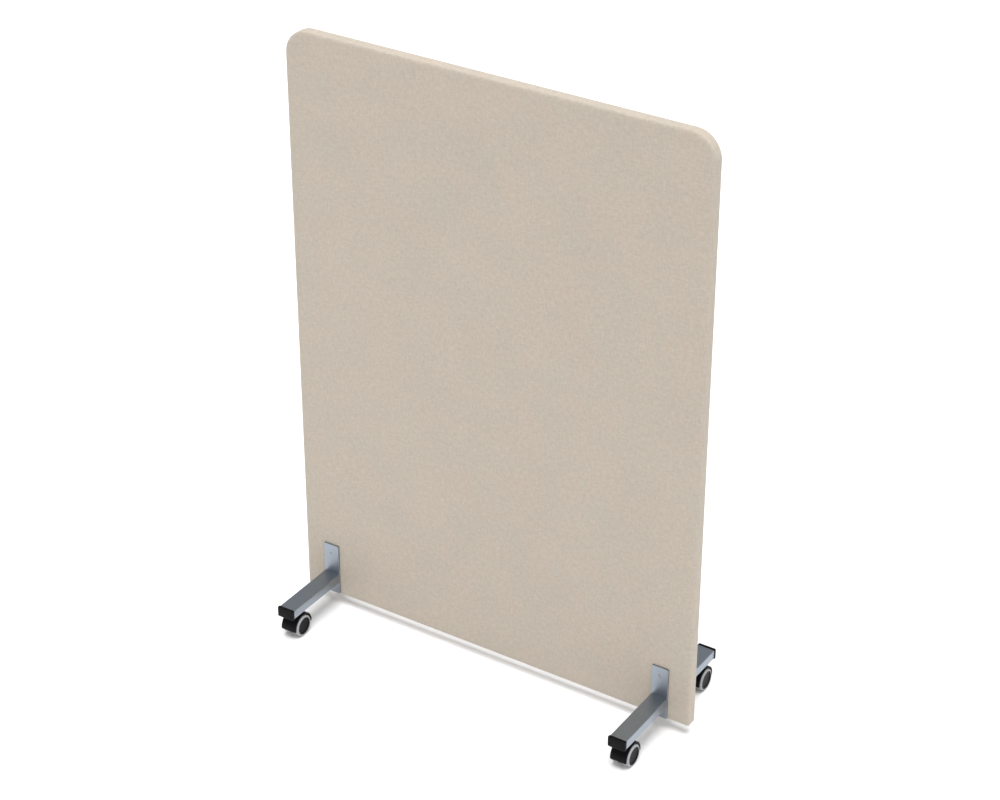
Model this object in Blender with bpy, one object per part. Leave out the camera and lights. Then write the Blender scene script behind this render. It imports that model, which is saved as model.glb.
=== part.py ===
"""Mobile partition wall: a fabric-covered screen on four steel legs with twin-wheel castors.

Metres, +Z up. The origin is on the floor, midway between the castors: +X runs along the
screen's width and -Y faces out of its front. Left is -X.
"""

import math

import bmesh
import bpy
from mathutils import Matrix, Vector

# Screen
WIDTH = 1.000
HEIGHT = 1.364
THICKNESS = 0.028
LIFT = 0.031  # from the floor to the screen's lower edge
CORNER_RADIUS = 0.056
EDGE_RADIUS = 0.003
GAP = 0.0003  # between pieces that touch

# Layers of the screen, from the outside in
CLOTH = 0.001
WADDING = 0.0019
STILE_WIDTH = 0.095
RAIL_HEIGHT = 0.060

# Legs
LEG_X = 0.429
LEG_REACH = 0.182  # from the screen's face to the end of the leg
PLATE_WIDTH = 0.040
PLATE_HEIGHT = 0.128
PLATE_THICKNESS = 0.004
PLATE_CORNER = 0.0015
PLATE_RIM = 0.0004
TUBE_WIDTH = 0.040
TUBE_HEIGHT = 0.023
TUBE_WALL = 0.002
TUBE_RADIUS = 0.0025
TUBE_FLOOR = 0.061  # from the floor to the tube's underside
CAP_FLANGE = 0.006
CAP_LIP = 0.0013  # how far the flange stands out past the tube
CAP_PLUG = 0.010
CAP_RIM = 0.0008

# Through bolts that clamp a front plate to a rear plate
BOLT_HEIGHTS = {"lower": 0.018, "upper": 0.107}  # above the screen's lower edge
HEAD_RADIUS = 0.006
SHANK_RADIUS = 0.003
SLEEVE_RADIUS = 0.004
SLEEVE_END = 0.010  # how far past the screen's middle the sleeve reaches
SHANK_END = 0.004  # how far past the screen's middle the screw reaches
SOCKET_RADIUS = 0.0023
SOCKET_DEPTH = 0.0015
BOLT_SIDES = 14

# Castors
STEM_INSET = 0.047  # from the end of the leg to the swivel axis
TRAIL = 0.008  # from the swivel axis to the axle, away from the screen at rest
WHEEL_RADIUS = 0.025
WHEEL_SIDES = 24
WHEEL_INNER = 0.0050  # a wheel's two faces, from the castor's middle
WHEEL_OUTER = 0.0220
CORE_RADIUS = 0.0204
CORE_RECESS = 0.0005  # from the tyre's outer face to the core's
HUB_DISH = 0.0016
RIM_WIDTH = 0.0020
INNER_SHOULDER = 0.0012
OUTER_SHOULDER = 0.0036
HOOD_RADIUS = 0.031
HOOD_WALL = 0.004
HOOD_HALF_WIDTH = 0.0195
HOOD_STEPS = 16
LIP_DROP = math.radians(7)  # how far both of the hood's lips reach below the axle
WEB_HALF_WIDTH = 0.0045
WEB_BOSS_RADIUS = 0.008  # around the axle
TOP_BOSS_RADIUS = 0.008  # around the swivel axis
TOP_BOSS_HEIGHT = 0.0046
AXLE_RADIUS = 0.003
AXLE_HALF_LENGTH = 0.0160
HUB_BORE_DEPTH = 0.0115
STEM_RADIUS = 0.005
PIVOT_RADIUS = 0.0025
PIVOT_DEPTH = 0.014
COLLAR_RADIUS = 0.008
ROD_SIDES = 14
NUT_RADIUS = 0.0098
NUT_HEIGHT = 0.008
STEM_STANDS = 0.012  # how far the stem stands inside the tube

# Worked out from the dimensions above
HALF_THICKNESS = THICKNESS / 2
CLOTH_INSIDE = HALF_THICKNESS - CLOTH
WADDING_OUTSIDE = CLOTH_INSIDE - GAP
WADDING_INSIDE = WADDING_OUTSIDE - WADDING
FRAME_HALF = WADDING_INSIDE - GAP
FRAME_INSET = CLOTH + GAP
WADDING_INSET = EDGE_RADIUS + 2 * GAP
PLATE_BACK = HALF_THICKNESS + GAP
PLATE_FRONT = PLATE_BACK + PLATE_THICKNESS
LEG_END = HALF_THICKNESS + LEG_REACH
STEM_Y = LEG_END - STEM_INSET
TUBE_MIDDLE = TUBE_FLOOR + TUBE_HEIGHT / 2
HOOD_TOP = WHEEL_RADIUS + HOOD_RADIUS
HOLE_RADIUS = SLEEVE_RADIUS + GAP

COLOURS = {
    "cloth": ((0.565, 0.490, 0.405), 0.95, 0.0),
    "wadding": ((0.85, 0.85, 0.83), 0.95, 0.0),
    "absorber": ((0.62, 0.60, 0.50), 0.95, 0.0),
    "timber": ((0.62, 0.44, 0.26), 0.70, 0.0),
    "silver_steel": ((0.40, 0.42, 0.45), 0.38, 0.85),
    "zinc": ((0.55, 0.55, 0.56), 0.35, 1.0),
    "black_plastic": ((0.018, 0.018, 0.020), 0.45, 0.0),
    "grey_rubber": ((0.36, 0.36, 0.37), 0.75, 0.0),
}


def clear_scene():
    for thing in list(bpy.data.objects):
        bpy.data.objects.remove(thing, do_unlink=True)


def material(name):
    """The named finish, made once."""
    made = bpy.data.materials.get(name)
    if made:
        return made
    colour, roughness, metallic = COLOURS[name]
    made = bpy.data.materials.new(name)
    made.use_nodes = True
    shader = made.node_tree.nodes["Principled BSDF"]
    shader.inputs["Base Color"].default_value = (*colour, 1.0)
    shader.inputs["Roughness"].default_value = roughness
    shader.inputs["Metallic"].default_value = metallic
    return made


def add_object(name, bm, finish, parent=None, location=(0.0, 0.0, 0.0), smooth=False):
    """A named object from a bmesh, with its faces turned outwards."""
    bmesh.ops.recalc_face_normals(bm, faces=bm.faces)
    mesh = bpy.data.meshes.new(name)
    bm.to_mesh(mesh)
    bm.free()
    if smooth:
        mesh.shade_smooth()
        mesh.set_sharp_from_angle(angle=math.radians(35))
    thing = bpy.data.objects.new(name, mesh)
    bpy.context.scene.collection.objects.link(thing)
    thing.data.materials.append(material(finish))
    thing.parent = parent
    thing.location = location
    return thing


def add_empty(name, location, parent=None):
    """A pivot that moving pieces hang from."""
    empty = bpy.data.objects.new(name, None)
    bpy.context.scene.collection.objects.link(empty)
    empty.parent = parent
    empty.location = location
    return empty


def cut(thing, *cutters, operation="DIFFERENCE"):
    """Cuts the cutters out of an object, or joins them to it, and leaves them as guides."""
    for cutter in cutters:
        cutter.hide_render = True
        cutter.display_type = "WIRE"
        step = thing.modifiers.new(cutter.name, "BOOLEAN")
        step.operation = operation
        step.object = cutter
        step.solver = "EXACT"


def bridge(bm, first, second, closed=True):
    """Faces between two rows of as many vertices."""
    count = len(first) if closed else len(first) - 1
    for i in range(count):
        j = (i + 1) % len(first)
        bm.faces.new((first[i], first[j], second[j], second[i]))


def loft(rings, tube=False):
    """A bmesh through rings of points: capped at both ends, or joined end to end."""
    bm = bmesh.new()
    rows = [[bm.verts.new(point) for point in ring] for ring in rings]
    for first, second in zip(rows, rows[1:]):
        bridge(bm, first, second)
    if tube:
        bridge(bm, rows[-1], rows[0])
    else:
        bm.faces.new(rows[0])
        bm.faces.new(rows[-1])
    return bm


def arc(centre, radius, start, end, steps):
    """Points of an arc in a plane, with both ends."""
    angles = [start + (end - start) * i / steps for i in range(steps + 1)]
    return [(centre[0] + radius * math.cos(a), centre[1] + radius * math.sin(a)) for a in angles]


def turned(profile, sides, axis="Z", tube=False):
    """A turned piece. The profile is (radius, distance along the axis), and a flat side faces down."""
    turn = {"X": Matrix.Rotation(math.pi / 2, 3, "Y"), "Y": Matrix.Rotation(-math.pi / 2, 3, "X")}
    turn = turn.get(axis, Matrix.Identity(3))
    angles = [(i + 0.5) * 2 * math.pi / sides for i in range(sides)]
    rings = [
        [turn @ Vector((radius * math.cos(a), radius * math.sin(a), along)) for a in angles]
        for radius, along in profile
    ]
    return loft(rings, tube)


def rod(radius, low, high, axis="Z", sides=ROD_SIDES):
    """A straight round bar along an axis."""
    return turned([(radius, low), (radius, high)], sides, axis)


def rounded_rectangle(width, height, radius, along, steps=3):
    """A ring of points around a rounded rectangle in the XZ plane, at a distance along Y."""
    half = Vector((width / 2 - radius, height / 2 - radius))
    ring = []
    for quarter, (side_x, side_z) in enumerate(((1, 1), (-1, 1), (-1, -1), (1, -1))):
        start = quarter * math.pi / 2
        corner = (side_x * half.x, side_z * half.y)
        ring += arc(corner, radius, start, start + math.pi / 2, steps)
    return [(x, along, z) for x, z in ring]


def box(low, high):
    """A bmesh box between two corners."""
    bm = bmesh.new()
    bmesh.ops.create_cube(bm, size=1.0)
    size = Vector(high) - Vector(low)
    bmesh.ops.scale(bm, vec=size, verts=bm.verts)
    bmesh.ops.translate(bm, vec=(Vector(low) + Vector(high)) / 2, verts=bm.verts)
    return bm


def screen_outline(inset, steps=10):
    """The screen's outline in XZ, up its left side, round both top corners and down again."""
    side = WIDTH / 2 - inset
    top = LIFT + HEIGHT - inset
    radius = CORNER_RADIUS - inset
    left = arc((-side + radius, top - radius), radius, math.pi, math.pi / 2, steps)
    right = [(-x, z) for x, z in reversed(left)]
    return [(-side, LIFT)] + left + right + [(side, LIFT)]


def slab(outline, half):
    """A flat piece with that outline, reaching half on each side of the screen's middle."""
    return loft([[(x, y, z) for x, z in outline] for y in (-half, half)])


def cloth_rows(bm, inset, half, radius, steps=2):
    """Rows of vertices over one skin of the cover, from its front face round to its rear face."""
    front = arc((radius, radius), radius, -math.pi / 2, -math.pi, steps)
    section = [(inset + x, -half + y) for x, y in front]
    section += [(x, -y) for x, y in reversed(section)]
    return [[bm.verts.new((x, y, z)) for x, z in screen_outline(shift)] for shift, y in section]


def cloth_rim(rows):
    """The vertices around the open foot of one skin."""
    return [row[0] for row in rows] + [row[-1] for row in reversed(rows)]


def make_cover():
    """The fabric cover: one sewn sleeve, pulled over the screen and open along its foot."""
    bm = bmesh.new()
    skins = (
        cloth_rows(bm, 0.0, HALF_THICKNESS, EDGE_RADIUS),
        cloth_rows(bm, CLOTH, CLOTH_INSIDE, EDGE_RADIUS - CLOTH),
    )
    for rows in skins:
        for first, second in zip(rows, rows[1:]):
            bridge(bm, first, second, closed=False)
        bm.faces.new(rows[0])
        bm.faces.new(rows[-1])
    bridge(bm, cloth_rim(skins[0]), cloth_rim(skins[1]))
    return add_object("fabric_cover", bm, "cloth", smooth=True)


def make_wadding(name, side):
    outline = screen_outline(WADDING_INSET)
    faces = sorted((side * WADDING_INSIDE, side * WADDING_OUTSIDE))
    bm = loft([[(x, y, z) for x, z in outline] for y in faces])
    return add_object(name, bm, "wadding")


def make_frame():
    """The timber frame and the absorber in it. Returns the two stiles, which the bolts pass through."""
    outline = screen_outline(FRAME_INSET)
    side = max(x for x, _ in outline)
    top = max(z for _, z in outline)
    inner = side - STILE_WIDTH
    curve = [point for point in outline if point[0] > inner]
    right = [(inner, LIFT), (inner, top)] + curve
    left = [(-x, z) for x, z in right]
    stiles = [
        add_object("frame_stile_left", slab(left, FRAME_HALF), "timber"),
        add_object("frame_stile_right", slab(right, FRAME_HALF), "timber"),
    ]
    reach = inner - GAP
    spans = {
        "frame_rail_bottom": (LIFT, LIFT + RAIL_HEIGHT, "timber"),
        "absorber_core": (LIFT + RAIL_HEIGHT + GAP, top - RAIL_HEIGHT - GAP, "absorber"),
        "frame_rail_top": (top - RAIL_HEIGHT, top, "timber"),
    }
    for name, (low, high, finish) in spans.items():
        add_object(name, box((-reach, -FRAME_HALF, low), (reach, FRAME_HALF, high)), finish)
    return stiles


def make_plate(name, side, front):
    """A foot plate against the front or the rear of the screen."""
    slim = PLATE_WIDTH - 2 * PLATE_RIM
    low = PLATE_HEIGHT - 2 * PLATE_RIM
    rings = [
        rounded_rectangle(PLATE_WIDTH, PLATE_HEIGHT, PLATE_CORNER, front * PLATE_BACK),
        rounded_rectangle(PLATE_WIDTH, PLATE_HEIGHT, PLATE_CORNER, front * (PLATE_FRONT - PLATE_RIM)),
        rounded_rectangle(slim, low, PLATE_CORNER - PLATE_RIM, front * PLATE_FRONT),
    ]
    place = (side * LEG_X, 0.0, LIFT + PLATE_HEIGHT / 2)
    return add_object(name, loft(rings), "silver_steel", location=place)


def make_tube(name, side, front):
    """A leg tube, open at both ends, with the stem's hole in its underside."""
    start = front * (PLATE_FRONT + GAP)
    end = front * (LEG_END - CAP_FLANGE - GAP)
    bore = (TUBE_WIDTH - 2 * TUBE_WALL, TUBE_HEIGHT - 2 * TUBE_WALL, TUBE_RADIUS - TUBE_WALL / 2)
    rings = [
        rounded_rectangle(TUBE_WIDTH, TUBE_HEIGHT, TUBE_RADIUS, start),
        rounded_rectangle(TUBE_WIDTH, TUBE_HEIGHT, TUBE_RADIUS, end),
        rounded_rectangle(*bore, end),
        rounded_rectangle(*bore, start),
    ]
    place = (side * LEG_X, 0.0, TUBE_MIDDLE)
    tube = add_object(name, loft(rings, tube=True), "silver_steel", location=place, smooth=True)
    hole = rod(STEM_RADIUS + GAP, TUBE_FLOOR - GAP, TUBE_MIDDLE)
    stem_place = (side * LEG_X, front * STEM_Y, 0.0)
    cut(tube, add_object(name + "_stem_hole", hole, "silver_steel", location=stem_place))


def make_cap(name, side, front):
    """A plastic end cap: a flange over the tube's end and a plug inside it."""
    seat = LEG_END - CAP_FLANGE
    plug_width = TUBE_WIDTH - 2 * (TUBE_WALL + GAP)
    plug_height = TUBE_HEIGHT - 2 * (TUBE_WALL + GAP)
    plug_radius = TUBE_RADIUS - TUBE_WALL / 2
    width, height, radius = TUBE_WIDTH + 2 * CAP_LIP, TUBE_HEIGHT + 2 * CAP_LIP, TUBE_RADIUS + CAP_LIP
    face = (width - 2 * CAP_RIM, height - 2 * CAP_RIM, radius - CAP_RIM)
    rings = [
        rounded_rectangle(*face, front * LEG_END),
        rounded_rectangle(width, height, radius, front * (LEG_END - CAP_RIM)),
        rounded_rectangle(width, height, radius, front * seat),
        rounded_rectangle(plug_width, plug_height, plug_radius, front * seat),
        rounded_rectangle(plug_width, plug_height, plug_radius, front * (seat - CAP_PLUG)),
    ]
    place = (side * LEG_X, 0.0, TUBE_MIDDLE)
    add_object(name, loft(rings), "black_plastic", location=place, smooth=True)


def make_nut(name, place):
    """The hexagon nut inside the tube that the stem screws into."""
    bottom = TUBE_FLOOR + TUBE_WALL + GAP
    top = bottom + NUT_HEIGHT
    nut = add_object(name, rod(NUT_RADIUS, bottom, top, sides=6), "zinc", location=place)
    bore = rod(STEM_RADIUS + GAP, bottom - GAP, top + GAP)
    cut(nut, add_object(name + "_bore", bore, "zinc", location=place))


def make_stem(name, place):
    """The castor's stem: a thread into the leg, a collar under it and the pin that the hood turns on."""
    collar_low = HOOD_TOP + GAP
    collar_high = TUBE_FLOOR - GAP
    profile = [
        (PIVOT_RADIUS, HOOD_TOP - PIVOT_DEPTH),
        (PIVOT_RADIUS, collar_low),
        (COLLAR_RADIUS, collar_low),
        (COLLAR_RADIUS, collar_high),
        (STEM_RADIUS, collar_high),
        (STEM_RADIUS, TUBE_FLOOR + TUBE_WALL + STEM_STANDS),
    ]
    add_object(name, turned(profile, ROD_SIDES), "zinc", location=place, smooth=True)


def hood_outline():
    """The hood's arch in the YZ plane around the axle, from its front lip over to its rear lip."""
    start, end = math.pi + LIP_DROP, -LIP_DROP
    outer = arc((0.0, 0.0), HOOD_RADIUS, start, end, HOOD_STEPS)
    inner = arc((0.0, 0.0), HOOD_RADIUS - HOOD_WALL, end, start, HOOD_STEPS)
    return outer + inner


def web_outline():
    """The web between the wheels: it fills the arch and ends in a round boss under the axle."""
    reach = HOOD_RADIUS - HOOD_WALL / 2
    over = arc((0.0, 0.0), reach, math.pi, 0.0, HOOD_STEPS)
    under = arc((0.0, 0.0), WEB_BOSS_RADIUS, 0.0, -math.pi, HOOD_STEPS // 2)
    return over + under


def extruded_in_x(outline, half):
    return loft([[(x, y, z) for y, z in outline] for x in (-half, half)])


def make_hood(name, swivel, axle_place):
    """The castor's black hood over both wheels, with its web, bosses, pivot bore and axle hole."""
    middle = (0.0, 0.0, 0.0)
    boss = rod(TOP_BOSS_RADIUS, HOOD_TOP - TOP_BOSS_HEIGHT, HOOD_TOP)
    pivot = rod(PIVOT_RADIUS + GAP, HOOD_TOP - PIVOT_DEPTH - GAP, HOOD_TOP + GAP)
    shapes = {
        "": (extruded_in_x(hood_outline(), HOOD_HALF_WIDTH), axle_place),
        "_web": (extruded_in_x(web_outline(), WEB_HALF_WIDTH), axle_place),
        "_boss": (boss, middle),
        "_pivot": (pivot, middle),
        "_axle_hole": (rod(AXLE_RADIUS + GAP, -HOOD_HALF_WIDTH / 2, HOOD_HALF_WIDTH / 2, "X"), axle_place),
    }
    hood, web, boss, pivot, axle_hole = [
        add_object(name + part, bm, "black_plastic", parent=swivel, location=place, smooth=True)
        for part, (bm, place) in shapes.items()
    ]
    cut(hood, web, boss, operation="UNION")
    cut(hood, pivot, axle_hole)


def core_profile():
    """The wheel's plastic core, with a blind bore for the axle and a dished outer face."""
    bore = AXLE_RADIUS + GAP
    face = WHEEL_OUTER - CORE_RECESS
    return [
        (bore, WHEEL_INNER + HUB_BORE_DEPTH),
        (bore, WHEEL_INNER),
        (CORE_RADIUS, WHEEL_INNER),
        (CORE_RADIUS, face),
        (CORE_RADIUS - RIM_WIDTH, face),
        (CORE_RADIUS - 2 * RIM_WIDTH, face - HUB_DISH),
    ]


def tyre_profile():
    """The soft tyre around the core. Its flat sides lie at the wheel's radius."""
    bore = CORE_RADIUS + GAP
    outer = WHEEL_RADIUS / math.cos(math.pi / WHEEL_SIDES)
    centre = (outer - OUTER_SHOULDER, WHEEL_OUTER - OUTER_SHOULDER)
    return [
        (bore, WHEEL_INNER),
        (outer - INNER_SHOULDER, WHEEL_INNER),
        (outer, WHEEL_INNER + INNER_SHOULDER),
        *arc(centre, OUTER_SHOULDER, 0.0, math.pi / 2, 2),
        (bore, WHEEL_OUTER),
    ]


def mirrored(profile, side):
    return [(radius, side * along) for radius, along in profile]


def make_wheels(corner, swivel, axle_place):
    """The axle and two free-running wheels, each hanging from a pivot on the axle."""
    axle = rod(AXLE_RADIUS, -AXLE_HALF_LENGTH, AXLE_HALF_LENGTH, "X")
    add_object(corner + "_axle", axle, "zinc", parent=swivel, location=axle_place, smooth=True)
    for side_name, side in (("left", -1), ("right", 1)):
        hub = add_empty(f"{corner}_hub_{side_name}", axle_place, swivel)
        core = turned(mirrored(core_profile(), side), WHEEL_SIDES, "X")
        tyre = turned(mirrored(tyre_profile(), side), WHEEL_SIDES, "X", tube=True)
        add_object(f"{corner}_wheel_core_{side_name}", core, "black_plastic", parent=hub, smooth=True)
        add_object(f"{corner}_tyre_{side_name}", tyre, "grey_rubber", parent=hub, smooth=True)


def make_leg(corner, side, front):
    """One quarter of the undercarriage. Returns its plate, which the bolts pass through."""
    stem_place = (side * LEG_X, front * STEM_Y, 0.0)
    make_tube(corner + "_leg_tube", side, front)
    make_cap(corner + "_end_cap", side, front)
    make_nut(corner + "_stem_nut", stem_place)
    make_stem(corner + "_castor_stem", stem_place)
    swivel = add_empty(corner + "_swivel", stem_place)
    axle_place = (0.0, front * TRAIL, WHEEL_RADIUS)
    make_hood(corner + "_castor_hood", swivel, axle_place)
    make_wheels(corner, swivel, axle_place)
    return make_plate(corner + "_foot_plate", side, front)


def make_bolt(name, place):
    """A countersunk screw from the front and the sleeve nut that it enters from the rear."""
    screw = [
        (HEAD_RADIUS, -PLATE_FRONT),
        (SHANK_RADIUS, -PLATE_FRONT + HEAD_RADIUS - SHANK_RADIUS),
        (SHANK_RADIUS, SHANK_END),
    ]
    sleeve = [
        (HEAD_RADIUS, PLATE_FRONT),
        (SLEEVE_RADIUS, PLATE_FRONT - HEAD_RADIUS + SLEEVE_RADIUS),
        (SLEEVE_RADIUS, -SLEEVE_END),
        (SHANK_RADIUS + GAP, -SLEEVE_END),
        (SHANK_RADIUS + GAP, SHANK_END + GAP),
    ]
    for kind, profile, front in (("foot_screw_", screw, -1), ("sleeve_nut_", sleeve, 1)):
        turning = turned(profile, BOLT_SIDES, "Y")
        piece = add_object(kind + name, turning, "zinc", location=place, smooth=True)
        bottom = front * (PLATE_FRONT - SOCKET_DEPTH)
        socket = rod(SOCKET_RADIUS, bottom, front * (PLATE_FRONT + GAP), "Y", sides=6)
        cut(piece, add_object(kind + name + "_socket", socket, "zinc", location=place))


def head_hole(front):
    """A countersunk hole through the front or the rear plate."""
    profile = [
        (HEAD_RADIUS + 2 * GAP, PLATE_FRONT + GAP),
        (HOLE_RADIUS, PLATE_FRONT - HEAD_RADIUS + SLEEVE_RADIUS),
        (HOLE_RADIUS, FRAME_HALF),
    ]
    return turned([(radius, front * along) for radius, along in profile], BOLT_SIDES, "Y")


def make_bolts(plates, layers):
    """The four through bolts, and the holes that they need in the plates and the screen."""
    for side_name, side in (("left", -1), ("right", 1)):
        for level, height in BOLT_HEIGHTS.items():
            name = f"{side_name}_{level}"
            place = (side * LEG_X, 0.0, LIFT + height)
            make_bolt(name, place)
            through = rod(HOLE_RADIUS, -PLATE_FRONT, PLATE_FRONT, "Y", sides=BOLT_SIDES)
            hole = add_object(name + "_hole", through, "zinc", location=place)
            for layer in layers["both"] + layers[side_name]:
                cut(layer, hole)
            for front_name, front in (("front", -1), ("rear", 1)):
                cutter = f"{name}_{front_name}_head_hole"
                cutter = add_object(cutter, head_hole(front), "zinc", location=place)
                cut(plates[f"{front_name}_{side_name}"], cutter)


def make_part():
    clear_scene()
    stiles = make_frame()
    layers = {
        "both": [make_cover(), make_wadding("wadding_front", -1), make_wadding("wadding_rear", 1)],
        "left": [stiles[0]],
        "right": [stiles[1]],
    }
    plates = {}
    for front_name, front in (("front", -1), ("rear", 1)):
        for side_name, side in (("left", -1), ("right", 1)):
            corner = f"{front_name}_{side_name}"
            plates[corner] = make_leg(corner, side, front)
    make_bolts(plates, layers)


make_part()
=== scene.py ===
"""The looks of the mobile partition wall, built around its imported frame. Metres, +Z up, front is -Y."""

import math

import bmesh
import bpy
from mathutils import Matrix, Quaternion, Vector


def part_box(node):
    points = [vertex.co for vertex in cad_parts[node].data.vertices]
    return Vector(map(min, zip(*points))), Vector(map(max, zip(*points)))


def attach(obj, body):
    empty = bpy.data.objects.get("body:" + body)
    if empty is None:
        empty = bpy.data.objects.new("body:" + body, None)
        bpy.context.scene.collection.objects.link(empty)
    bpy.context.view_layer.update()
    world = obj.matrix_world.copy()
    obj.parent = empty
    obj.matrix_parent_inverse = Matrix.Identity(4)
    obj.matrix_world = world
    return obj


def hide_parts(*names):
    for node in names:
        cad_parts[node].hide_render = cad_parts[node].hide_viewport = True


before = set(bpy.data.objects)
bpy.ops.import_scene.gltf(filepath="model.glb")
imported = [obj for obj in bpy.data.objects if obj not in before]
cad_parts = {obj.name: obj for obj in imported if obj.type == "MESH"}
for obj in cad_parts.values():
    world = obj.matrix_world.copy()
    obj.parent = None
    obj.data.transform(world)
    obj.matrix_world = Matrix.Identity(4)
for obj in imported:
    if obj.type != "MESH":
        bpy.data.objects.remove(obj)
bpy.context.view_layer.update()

CORNERS = [(f"{row}_{side}", row, side) for row in ("front", "rear") for side in ("left", "right")]
SIGNS = {"left": -1, "right": 1, "front": -1, "rear": 1}

# Camera
CAMERA_PLACE = (2.4531, -3.7846, 3.3132)
CAMERA_TARGET = (0.0147, 0.0, 0.6719)
CAMERA_ROLL = math.radians(0.068)
LENS = 90.03
SENSOR = 36.0
CLIP_END = 100.0

# Screen cover
CORNER_RADIUS = 0.056
CLOTH = 0.001
SHOULDER_WIDTH = 0.012  # how far from its edge the padded face starts to fall away
SHOULDER_DROP = 0.0035
SHOULDER_POWER = 2.5
HEM_RADIUS = 0.0025
HEM_DROP = 0.0014  # how far the turned hem lies below the frame
HEM_WIDTH = 0.0105
HEM_MIDDLE = 0.0063
CORNER_STEPS = 16
SIDE_STEPS = 52
TOP_STEPS = 36
SHOULDER_STEPS = 8
EDGE_STEPS = 12
EDGE_CROWN = 0.0002  # how much the screen's narrow edge swells at its middle


# ---------------------------------------------------------------- mesh helpers

SAME_PLACE = 1e-6  # vertices closer than this are one
SMALL = 0.001  # how far a cutter reaches past the face that it cuts


def arc(centre, radius, start, end, steps):
    """Points of an arc in a plane, with both ends. Angles are in degrees."""
    angles = [math.radians(start + (end - start) * i / steps) for i in range(steps + 1)]
    return [(centre[0] + radius * math.cos(a), centre[1] + radius * math.sin(a)) for a in angles]


def bridge(bm, first, second, closed=True):
    """Quads between two rows of as many vertices."""
    for i in range(len(first) if closed else len(first) - 1):
        j = (i + 1) % len(first)
        bm.faces.new((first[i], first[j], second[j], second[i]))


def loft(rings, loop=False):
    """A bmesh through rings of points, capped at both ends or joined end to end."""
    bm = bmesh.new()
    rows = [[bm.verts.new(point) for point in ring] for ring in rings]
    for first, second in zip(rows, rows[1:]):
        bridge(bm, first, second)
    if loop:
        bridge(bm, rows[-1], rows[0])
    else:
        bm.faces.new(rows[0])
        bm.faces.new(rows[-1])
    return bm


def turned(profile, sides=96, axis="Z", loop=False):
    """A turned piece from (radius, distance along the axis). A zero radius closes it in a point."""
    turn = {"X": Matrix.Rotation(math.pi / 2, 3, "Y"), "Y": Matrix.Rotation(-math.pi / 2, 3, "X")}
    turn = turn.get(axis, Matrix.Identity(3))
    angles = [i * 2 * math.pi / sides for i in range(sides)]
    rings = [
        [turn @ Vector((radius * math.cos(a), radius * math.sin(a), along)) for a in angles]
        for radius, along in profile
    ]
    bm = loft(rings, loop)
    bmesh.ops.remove_doubles(bm, verts=bm.verts, dist=SAME_PLACE)
    return bm


def rounded_rectangle(width, height, radius, steps=6):
    """The outline of a rounded rectangle around its middle."""
    ring = []
    for quarter, (side_x, side_y) in enumerate(((1, 1), (-1, 1), (-1, -1), (1, -1))):
        corner = (side_x * (width / 2 - radius), side_y * (height / 2 - radius))
        ring += arc(corner, radius, 90 * quarter, 90 * quarter + 90, steps)
    return ring


def rounded_edge(radius, steps=4):
    """(inset, depth) pairs over a quarter-round edge, from the face round to the side."""
    return [(radius - x, radius - y) for x, y in arc((0.0, 0.0), radius, 90, 0, steps)]


def mesh_of(name, bm, sharp=30, turn_out=True):
    """A smooth-shaded mesh from a bmesh, with its faces turned outwards or as they are."""
    if turn_out:
        bmesh.ops.recalc_face_normals(bm, faces=bm.faces)
    mesh = bpy.data.meshes.new(name)
    bm.to_mesh(mesh)
    bm.free()
    mesh.shade_smooth()
    mesh.set_sharp_from_angle(angle=math.radians(sharp))
    return mesh


def link(name, mesh, finish=None):
    thing = bpy.data.objects.new(name, mesh)
    bpy.context.scene.collection.objects.link(thing)
    if finish:
        mesh.materials.clear()
        mesh.materials.append(finish)
    return thing


def piece(name, mesh, finish, body, slot, *nodes):
    """A finished piece: it rides on its body and stands for its CAD nodes. Its slot is not used."""
    thing = link(name, mesh, finish)
    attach(thing, body)
    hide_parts(*nodes)
    return thing


def middle_of(node):
    """The middle of a CAD node's box."""
    low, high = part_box(node)
    return (low + high) / 2


def outer_y(node):
    """The y of a node's end that is farther from the screen's middle."""
    low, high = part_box(node)
    return high.y if abs(high.y) > abs(low.y) else low.y


def placed(mesh, place):
    """A copy of a mesh, moved into place."""
    copy = mesh.copy()
    copy.transform(Matrix.Translation(place))
    return copy


def solved(name, body_bm, joins=(), cuts=(), sharp=30):
    """The mesh of a body with other shapes joined to it and cut out of it."""
    body = link(name, mesh_of(name, body_bm, sharp))
    helpers = []
    for operation, shapes in (("UNION", joins), ("DIFFERENCE", cuts)):
        for shape in shapes:
            helper = link(name + "_helper", mesh_of(name + "_helper", shape, sharp))
            step = body.modifiers.new(operation, "BOOLEAN")
            step.operation = operation
            step.solver = "EXACT"
            step.object = helper
            helpers.append(helper)
    depsgraph = bpy.context.evaluated_depsgraph_get()
    mesh = bpy.data.meshes.new_from_object(body.evaluated_get(depsgraph))
    mesh.name = name
    for helper in helpers + [body]:
        bpy.data.objects.remove(helper, do_unlink=True)
    mesh.shade_smooth()
    mesh.set_sharp_from_angle(angle=math.radians(sharp))
    return mesh


# ---------------------------------------------------------------- materials

CLOTH_COLOUR = (0.397, 0.360, 0.304)
CLOTH_SECOND = (0.421, 0.360, 0.299)
YARN_PITCH = 0.0009
SILVER = (0.285, 0.318, 0.362)
ZINC = (0.32, 0.33, 0.35)
BLACK = (0.0032, 0.0032, 0.0038)
RUBBER = (0.30, 0.30, 0.31)
TIMBER = (0.60, 0.42, 0.24)
TIMBER_DARK = (0.45, 0.28, 0.14)
ABSORBER = (0.60, 0.58, 0.48)
WADDING = (0.84, 0.84, 0.82)
NOISE_RANGE = (0.3, 0.7)  # between which most of a noise texture lies


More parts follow.
